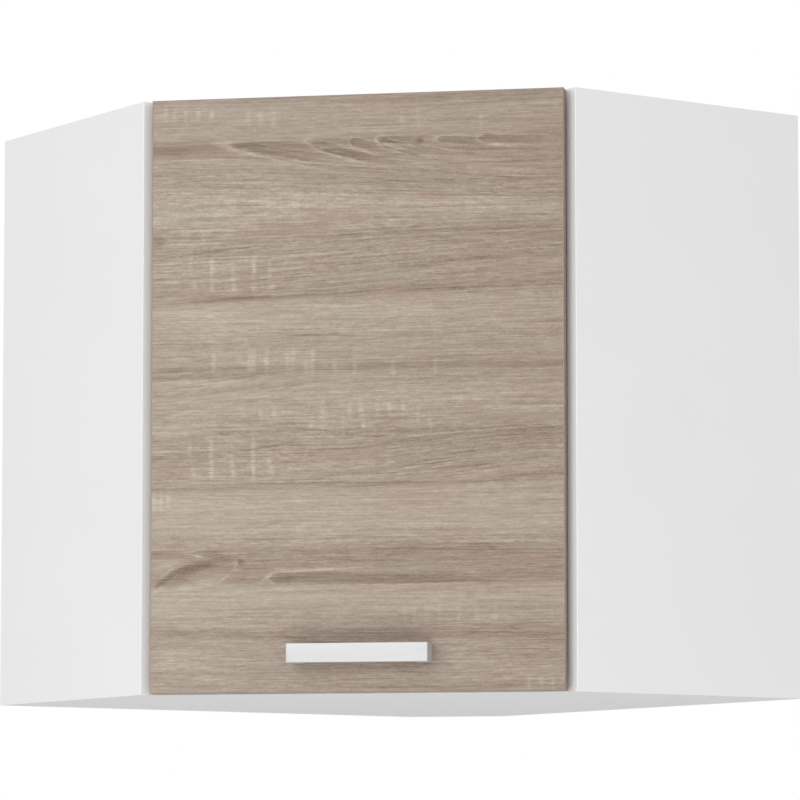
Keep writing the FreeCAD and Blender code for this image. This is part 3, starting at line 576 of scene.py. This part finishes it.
plainFinishes = {
    "whiteBand": {
        "name": "whiteEdgeBand",
        "colours": (linear(240, 240, 239), linear(234, 234, 233)),
        "scale": 700,
        "roughness": 0.36,
    },
    "hardboard": {
        "name": "whiteHardboard",
        "colours": (linear(242, 242, 240), linear(234, 234, 231)),
        "scale": 300,
        "roughness": 0.55,
    },
    "oakBand": {
        "name": "oakEdgeBand",
        "colours": (linear(160, 143, 129), linear(132, 117, 105)),
        "scale": 400,
        "roughness": 0.5,
        "bump": 0.2,
        "stretch": (0.1, 0.1, 1),
    },
    "aluminium": {
        "name": "satinAluminium",
        "colours": (linear(205, 205, 205), linear(199, 199, 199)),
        "scale": 600,
        "roughness": 0.5,
        "metallic": 0.4,
        "bump": 0.2,
        "stretch": (0.05, 1, 1),
    },
    "beech": {
        "name": "beech",
        "colours": (linear(214, 182, 140), linear(188, 150, 108)),
        "scale": 300,
        "roughness": 0.6,
        "bump": 0.3,
    },
    "clear": {
        "name": "clearBumper",
        "colours": (linear(226, 228, 228), linear(214, 217, 217)),
        "scale": 200,
        "roughness": 0.2,
    },
    "plastic": {
        "name": "whitePlastic",
        "colours": (linear(236, 236, 234), linear(229, 229, 227)),
        "scale": 500,
        "roughness": 0.4,
    },
    "nickel": {
        "name": "nickelSteel",
        "colours": (linear(196, 195, 191), linear(186, 185, 181)),
        "scale": 400,
        "roughness": 0.28,
        "metallic": 1.0,
        "bump": 0.03,
    },
    "zinc": {
        "name": "zincCasting",
        "colours": (linear(176, 177, 178), linear(164, 165, 167)),
        "scale": 500,
        "roughness": 0.42,
        "metallic": 1.0,
        "bump": 0.1,
    },
}
plain = {
    "detail": 3,
    "roughnessSpread": 0.12,
    "bumpDistance": 0.0001,
}


def plainFinish(name, colours, scale, roughness, metallic=0.0, bump=0.1, stretch=(1, 1, 1)):
    made, surface, start = emptyMaterial(name, Metallic=metallic)
    x, y, z = objectPlace(start)[1:]
    place = joined(x * stretch[0], y * stretch[1], z * stretch[2])
    pattern = noise(start, place, scale, plain["detail"])
    wire(surface, start,
         Base_Color=mixed(pattern, *colours),
         Roughness=roughness + (pattern - 0.5) * plain["roughnessSpread"],
         Normal=bumped(start, pattern, bump, plain["bumpDistance"]))
    return made


def makeMaterials():
    made = {"melamine": whiteMelamine(), "oak": oakLaminate()}
    for finish, values in plainFinishes.items():
        made[finish] = plainFinish(**values)
    print("materials made:", len(made))
    return made


slotFinish = {
    "white_melamine": "melamine",
    "white_edge_band": "whiteBand",
    "white_hardboard": "hardboard",
    "oak_laminate": "oak",
    "oak_edge_band": "oakBand",
    "satin_aluminium": "aluminium",
    "beech": "beech",
    "clear_bumper": "clear",
    "white_plastic": "plastic",
    "nickel_steel": "nickel",
    "zinc_casting": "zinc",
}


def finishNodes():
    for name, node in nodes.items():
        finish = finishes[slotFinish[slotOf(name)]]
        if not node.material_slots:
            node.data.materials.append(finish)
        for slot in node.material_slots:
            slot.material = finish
    print("nodes finished:", len(nodes))


# help for modelling: one piece is active and selected at a time

nearly = 0.9    # how far a direction has to agree
mergeWithin = 1e-6
flatBelow = math.radians(0.5)
bevelAbove = math.radians(30)
smoothBelow = math.radians(35)


def alone(piece):
    bpy.ops.object.select_all(action="DESELECT")
    piece.select_set(True)
    bpy.context.view_layer.objects.active = piece


def editing(select):
    bpy.ops.object.mode_set(mode="EDIT")
    bpy.ops.mesh.select_all(action=select)


def objectMode():
    bpy.ops.object.mode_set(mode="OBJECT")


def choose(piece, kind, wanted):
    # faces by their middle and the way they look, edges by their middle and the way they run
    bpy.ops.object.mode_set(mode="EDIT")
    bpy.ops.mesh.select_mode(type=kind)
    bpy.ops.mesh.select_all(action="DESELECT")
    shape = bmesh.from_edit_mesh(piece.data)
    if kind == "FACE":
        for face in shape.faces:
            face.select_set(wanted(face.calc_center_median(), face.normal))
    else:
        for edge in shape.edges:
            start, end = edge.verts[0].co, edge.verts[1].co
            edge.select_set(wanted((start + end) / 2, (end - start).normalized()))
    bmesh.update_edit_mesh(piece.data)


def applied(piece, kind, **settings):
    alone(piece)
    modifier = piece.modifiers.new(kind.lower(), kind)
    for name, value in settings.items():
        setattr(modifier, name, value)
    bpy.ops.object.modifier_apply(modifier=modifier.name)


def softened(piece, width, segments=2):
    applied(piece, "BEVEL", width=width, segments=segments, limit_method="ANGLE",
            angle_limit=bevelAbove, use_clamp_overlap=True)


def settled(piece, name, finish, node):
    # the place goes into the mesh, then the piece takes its finish and the CAD node's part
    alone(piece)
    bpy.ops.object.transform_apply(location=True, rotation=True, scale=True)
    bpy.ops.object.shade_smooth_by_angle(angle=smoothBelow)
    piece.name = name
    piece.data.name = name
    piece.data.materials.clear()
    piece.data.materials.append(finishes[finish])
    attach(piece, bodyOf(node))
    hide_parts(node)


def cadCopy(node):
    # a merged copy of a CAD node's mesh, to be finished as a piece of its own
    piece = bpy.data.objects.new(node + "Copy", nodes[node].data.copy())
    bpy.context.scene.collection.objects.link(piece)
    alone(piece)
    editing("SELECT")
    bpy.ops.mesh.remove_doubles(threshold=mergeWithin)
    bpy.ops.mesh.dissolve_limited(angle_limit=flatBelow)
    objectMode()
    return piece


def solidsOf(node):
    # the corners of each separate solid of a CAD node
    shape = bmesh.new()
    shape.from_mesh(nodes[node].data)
    bmesh.ops.remove_doubles(shape, verts=shape.verts, dist=mergeWithin)
    left = set(shape.verts)
    solids = []
    while left:
        found, edge = set(), [left.pop()]
        while edge:
            vertex = edge.pop()
            found.add(vertex)
            for line in vertex.link_edges:
                other = line.other_vert(vertex)
                if other in left:
                    left.discard(other)
                    edge.append(other)
        solids.append([vertex.co.copy() for vertex in found])
    shape.free()
    return solids


def measured(corners, facing):
    # crown, length and radius of a round solid that faces a way
    facing = Vector(facing).normalized()
    heights = [corner.dot(facing) for corner in corners]
    middle = sum(corners, Vector()) / len(corners)
    crown = middle + facing * (max(heights) - middle.dot(facing))
    spokes = [corner - crown for corner in corners]
    radius = max((spoke - facing * spoke.dot(facing)).length for spoke in spokes)
    return crown, max(heights) - min(heights), radius


def stood(piece, crown, facing):
    # a shape modelled with its crown at the origin, facing +Z, is put at its place
    turn = Vector((0, 0, 1)).rotation_difference(Vector(facing)).to_matrix().to_4x4()
    piece.data.transform(Matrix.Translation(crown) @ turn)


# bow handle: a flat bar with a leg at each end

handle = {
    "legWidth": 0.0148,
    "barThickness": 0.008,
    "cornerRadius": 0.0011,
    "cornerSteps": 5,
    "innerRadius": 0.004,
    "innerSteps": 8,
    "edgeRadius": 0.0005,
    "edgeSteps": 3,
    "touch": 0.00001,
}


def makeHandle():
    low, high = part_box("door_handle")
    back = low.y + handle["barThickness"]
    middle = ((low.x + high.x) / 2, (low.y + back) / 2, (low.z + high.z) / 2)
    bpy.ops.mesh.primitive_cube_add(size=1, location=middle)
    bar = bpy.context.object
    bar.scale = (high.x - low.x, back - low.y, high.z - low.z)
    bpy.ops.object.transform_apply(location=True, rotation=True, scale=True)
    for cut in (low.x + handle["legWidth"], high.x - handle["legWidth"]):
        editing("SELECT")
        bpy.ops.mesh.bisect(plane_co=(cut, 0, 0), plane_no=(1, 0, 0))

    # the legs grow from the bar's back
    inner = (high.x - low.x) / 2 - handle["legWidth"]
    choose(bar, "FACE", lambda at, facing: facing.y > nearly and abs(at.x - middle[0]) > inner)
    bpy.ops.mesh.extrude_region_move(TRANSFORM_OT_translate={"value": (0, high.y - back, 0)})

    # upright edges at the front corners, then those inside the bow
    near = handle["touch"]
    choose(bar, "EDGE", lambda at, along: abs(along.z) > nearly and at.y < low.y + near
           and min(at.x - low.x, high.x - at.x) < near)
    bpy.ops.mesh.bevel(offset=handle["cornerRadius"], segments=handle["cornerSteps"])
    choose(bar, "EDGE", lambda at, along: abs(along.z) > nearly and abs(at.y - back) < near
           and abs(abs(at.x - middle[0]) - inner) < near)
    bpy.ops.mesh.bevel(offset=handle["innerRadius"], segments=handle["innerSteps"])
    objectMode()
    softened(bar, handle["edgeRadius"], handle["edgeSteps"])
    settled(bar, "bowHandle", "aluminium", "door_handle")
    print("handle made")


# round fittings, each modelled once and copied

fittings = {
    "sides": 40,
    "recessDepth": 0.0016,
    "recessArm": 0.62,
    "recessWidth": 0.2,
    "recessTaper": 0.6,
    "crownFlat": 0.96,
    "crownEdge": 0.00018,
    "screwTip": 0.35,
    "domeTop": 0.35,
    "domeShoulder": 0.75,
    "shoulderDrop": 0.35,
    "camDome": 0.0001,
    "camRound": 0.0004,
    "camRecess": 0.7,
    "camRecessDepth": 0.004,
    "capDome": 0.35,
    "capRound": 0.3,
    "bumperDome": 0.55,
    "bumperRound": 0.2,
}
inwardLeft = Vector((1, 1, 0)).normalized()
wallLeft = Vector((1, -1, 0)).normalized()


def turnedShape(profile):
    # a profile of (radius, height) points, lathed round Z
    radius, height = profile[0]
    bpy.ops.mesh.primitive_circle_add(vertices=fittings["sides"], radius=radius,
                                      location=(0, 0, height), fill_type="NGON")
    piece = bpy.context.object
    bpy.ops.object.transform_apply(location=True, rotation=True, scale=True)
    editing("SELECT")
    bpy.ops.mesh.flip_normals()
    for (radius, height), (before, level) in zip(profile[1:], profile):
        bpy.ops.mesh.extrude_region_move(TRANSFORM_OT_translate={"value": (0, 0, height - level)})
        scale = radius / before
        bpy.ops.transform.resize(value=(scale, scale, 1))
    editing("SELECT")
    bpy.ops.mesh.normals_make_consistent(inside=False)
    objectMode()
    return piece


def crossRecess(piece, radius, depth):
    # a cross cut into the crown
    arm = radius * fittings["recessArm"]
    taper = fittings["recessTaper"]
    for turn in (0, math.pi / 2):
        bpy.ops.mesh.primitive_cube_add(size=1, location=(0, 0, 0), rotation=(0, 0, turn))
        cutter = bpy.context.object
        cutter.scale = (arm * 2, radius * fittings["recessWidth"], depth * 2)
        bpy.ops.object.transform_apply(location=True, rotation=True, scale=True)
        choose(cutter, "FACE", lambda at, facing: facing.z < -nearly)
        bpy.ops.transform.resize(value=(taper, taper, 1))
        objectMode()
        applied(piece, "BOOLEAN", operation="DIFFERENCE", object=cutter, solver="EXACT")
        bpy.data.objects.remove(cutter)


def screwShape(crown, length, shank):
    # a countersunk screw, its crown at the origin
    edge = fittings["crownEdge"]
    profile = [
        (crown * fittings["crownFlat"], 0),
        (crown, -edge),
        (shank, -edge - (crown - shank)),
        (shank, -length + shank),
        (shank * fittings["screwTip"], -length),
    ]
    piece = turnedShape(profile)
    crossRecess(piece, crown, min(fittings["recessDepth"], length / 3))
    return piece


def discShape(radius, length, dome, edge):
    # a disc with a softened, slightly domed crown
    profile = [
        (radius * fittings["domeTop"], 0),
        (radius * fittings["domeShoulder"], -dome * fittings["shoulderDrop"]),
        (radius - edge, -dome),
        (radius, -dome - edge),
        (radius, -length),
    ]
    return turnedShape(profile)


def copies(shape, places, name, finish, node):
    # one joined piece of a copy at each place
    made = []
    for crown, facing in places:
        piece = bpy.data.objects.new(name, shape.data.copy())
        bpy.context.scene.collection.objects.link(piece)
        stood(piece, crown, facing)
        made.append(piece)
    bpy.data.objects.remove(shape)
    bpy.ops.object.select_all(action="DESELECT")
    for piece in made:
        piece.select_set(True)
    bpy.context.view_layer.objects.active = made[0]
    bpy.ops.object.join()
    settled(made[0], name, finish, node)


def facingOf(node, corners):
    # which way a fitting's crown looks
    middle = sum(corners, Vector()) / len(corners)
    if node in ("plate_screws", "hinge_arm_screws"):
        return inwardLeft
    if node == "hanger_adjusting_screws":
        return Vector((wallLeft.x if middle.x < 0 else -wallLeft.x, wallLeft.y, 0))
    if node in ("cup_screws", "handle_screws", "door_bumpers"):
        return Vector((0, 1, 0))
    return Vector((0, 0, 1))


def placesOf(node):
    # where each solid of a node stands, and the length and radius they share
    places = []
    for corners in solidsOf(node):
        facing = facingOf(node, corners)
        crown, length, radius = measured(corners, facing)
        places.append((crown, facing))
    return places, length, radius


# each node of screws: the piece's name and its shank's radius
screws = {
    "cup_screws": ("cupScrews", 0.0016),
    "handle_screws": ("handleScrews", 0.002),
    "plate_screws": ("plateScrews", 0.0019),
    "hinge_arm_screws": ("hingeArmScrews", 0.0021),
    "hanger_adjusting_screws": ("hangerScrews", 0.0024),
}


def makeScrews():
    for node, (name, shank) in screws.items():
        places, length, radius = placesOf(node)
        copies(screwShape(radius, length, shank), places, name, "nickel", node)
    print("screws made")


def makeCams():
    places, length, radius = placesOf("cam_locks")
    cam = discShape(radius, length, fittings["camDome"], fittings["camRound"])
    crossRecess(cam, radius * fittings["camRecess"], fittings["camRecessDepth"])
    copies(cam, places, "camLocks", "zinc", "cam_locks")
    places, length, radius = placesOf("cam_cover_caps")
    dome, edge = length * fittings["capDome"], length * fittings["capRound"]
    copies(discShape(radius, length, dome, edge), places, "camCaps", "plastic", "cam_cover_caps")
    places, length, radius = placesOf("door_bumpers")
    dome, edge = length * fittings["bumperDome"], length * fittings["bumperRound"]
    copies(discShape(radius, length, dome, edge), places, "doorBumpers", "clear", "door_bumpers")
    print("cams, caps and bumpers made")


# pressed and cast parts: the CAD shape, its edges softened by a width

softEdges = {
    "lower_hinge_cup": ("lowerHingeCup", "nickel", 0.0003),
    "upper_hinge_cup": ("upperHingeCup", "nickel", 0.0003),
    "lower_hinge_arm": ("lowerHingeArm", "nickel", 0.0003),
    "upper_hinge_arm": ("upperHingeArm", "nickel", 0.0003),
    "lower_mounting_plate": ("lowerMountingPlate", "zinc", 0.0004),
    "upper_mounting_plate": ("upperMountingPlate", "zinc", 0.0004),
    "hinge_pins": ("hingePins", "nickel", 0.0002),
    "left_hanger_case": ("leftHangerCase", "plastic", 0.0008),
    "right_hanger_case": ("rightHangerCase", "plastic", 0.0008),
    "left_hanger_hook": ("leftHangerHook", "nickel", 0.0004),
    "right_hanger_hook": ("rightHangerHook", "nickel", 0.0004),
    "left_hanger_carriage": ("leftHangerCarriage", "nickel", 0.0004),
    "right_hanger_carriage": ("rightHangerCarriage", "nickel", 0.0004),
    "shelf_pins": ("shelfPins", "nickel", 0.0003),
}


def makeSoftened():
    for node, (name, finish, width) in softEdges.items():
        piece = cadCopy(node)
        softened(piece, width)
        settled(piece, name, finish, node)
    print("pressed and cast parts made:", len(softEdges))


# studio: a floor far below, a dome of light, and lamps, each with its place, size and power

studio = {
    "floorDrop": 3.2,
    "floorSize": 120,
    "floorColour": linear(236, 236, 236),
    "floorGlow": 0.45,
    "floorSheen": 0.1,
    "floorCloud": grey(0.8),
    "floorCloudScale": 3,
    "floorCloudShare": 0.1,
    "floorRoughness": 0.9,
    "dome": 0.66,
    "target": (0, 0, 0.3),
    "lamps": {
        "key": ((-1.8, -4.2, 2.0), 2.4, 50),
        "fill": ((2.4, -3.8, 0.8), 2.4, 17),
        "low": ((0.0, -2.6, -1.2), 2.0, 25),
    },
}


def seenDirectly(start, gloss=1.0):
    # 1 for the camera and through glass; gloss is what metal shows of it
    rays = ("Is Camera Ray", "Is Glossy Ray", "Is Transmission Ray")
    straight, glossy, through = (start.node("ShaderNodeLightPath", {}, {}, ray) for ray in rays)
    return start.math("MAXIMUM", start.math("MAXIMUM", straight, through), glossy * gloss)


def makeStudio():
    below = (0, 0, -studio["floorDrop"])
    bpy.ops.mesh.primitive_plane_add(size=studio["floorSize"], location=below)
    floor = bpy.context.object
    floor.name = "studioFloor"
    made, surface, start = emptyMaterial(
        "paleFloor", Roughness=studio["floorRoughness"], Emission_Strength=1.0)
    cloud = noise(start, objectPlace(start)[0], studio["floorCloudScale"])
    shown = seenDirectly(start, studio["floorSheen"])
    colours = (studio["floorColour"], studio["floorCloud"])
    wire(surface, start,
         Base_Color=mixed(cloud * studio["floorCloudShare"], *colours),
         Emission_Color=mixed(shown, grey(0), grey(studio["floorGlow"])))
    floor.data.materials.append(made)

    world = bpy.data.worlds.new("studio")
    bpy.context.scene.world = world
    world.use_nodes = True
    tree = world.node_tree
    tree.nodes.clear()
    start = Shade(tree)
    shown = seenDirectly(start)
    light = start.node("ShaderNodeBackground", {}, {"Color": grey(1), "Strength": studio["dome"]})
    white = start.node("ShaderNodeBackground", {}, {"Color": grey(1), "Strength": 1.0})
    both = start.node("ShaderNodeMixShader", {}, {0: shown, 1: light, 2: white})
    ending = tree.nodes.new("ShaderNodeOutputWorld")
    tree.links.new(both.socket, ending.inputs[0])

    target = Vector(studio["target"])
    for name, (place, size, power) in studio["lamps"].items():
        bpy.ops.object.light_add(type="AREA", location=place)
        lamp = bpy.context.object
        lamp.name = name
        lamp.data.size = size
        lamp.data.energy = power
        lamp.rotation_euler = (target - Vector(place)).to_track_quat("-Z", "Y").to_euler()
    bpy.context.scene.view_settings.view_transform = "Standard"
    print("studio made")


makeCamera()
makeStudio()
finishes = makeMaterials()
finishNodes()
makeHandle()
makeScrews()
makeCams()
makeSoftened()
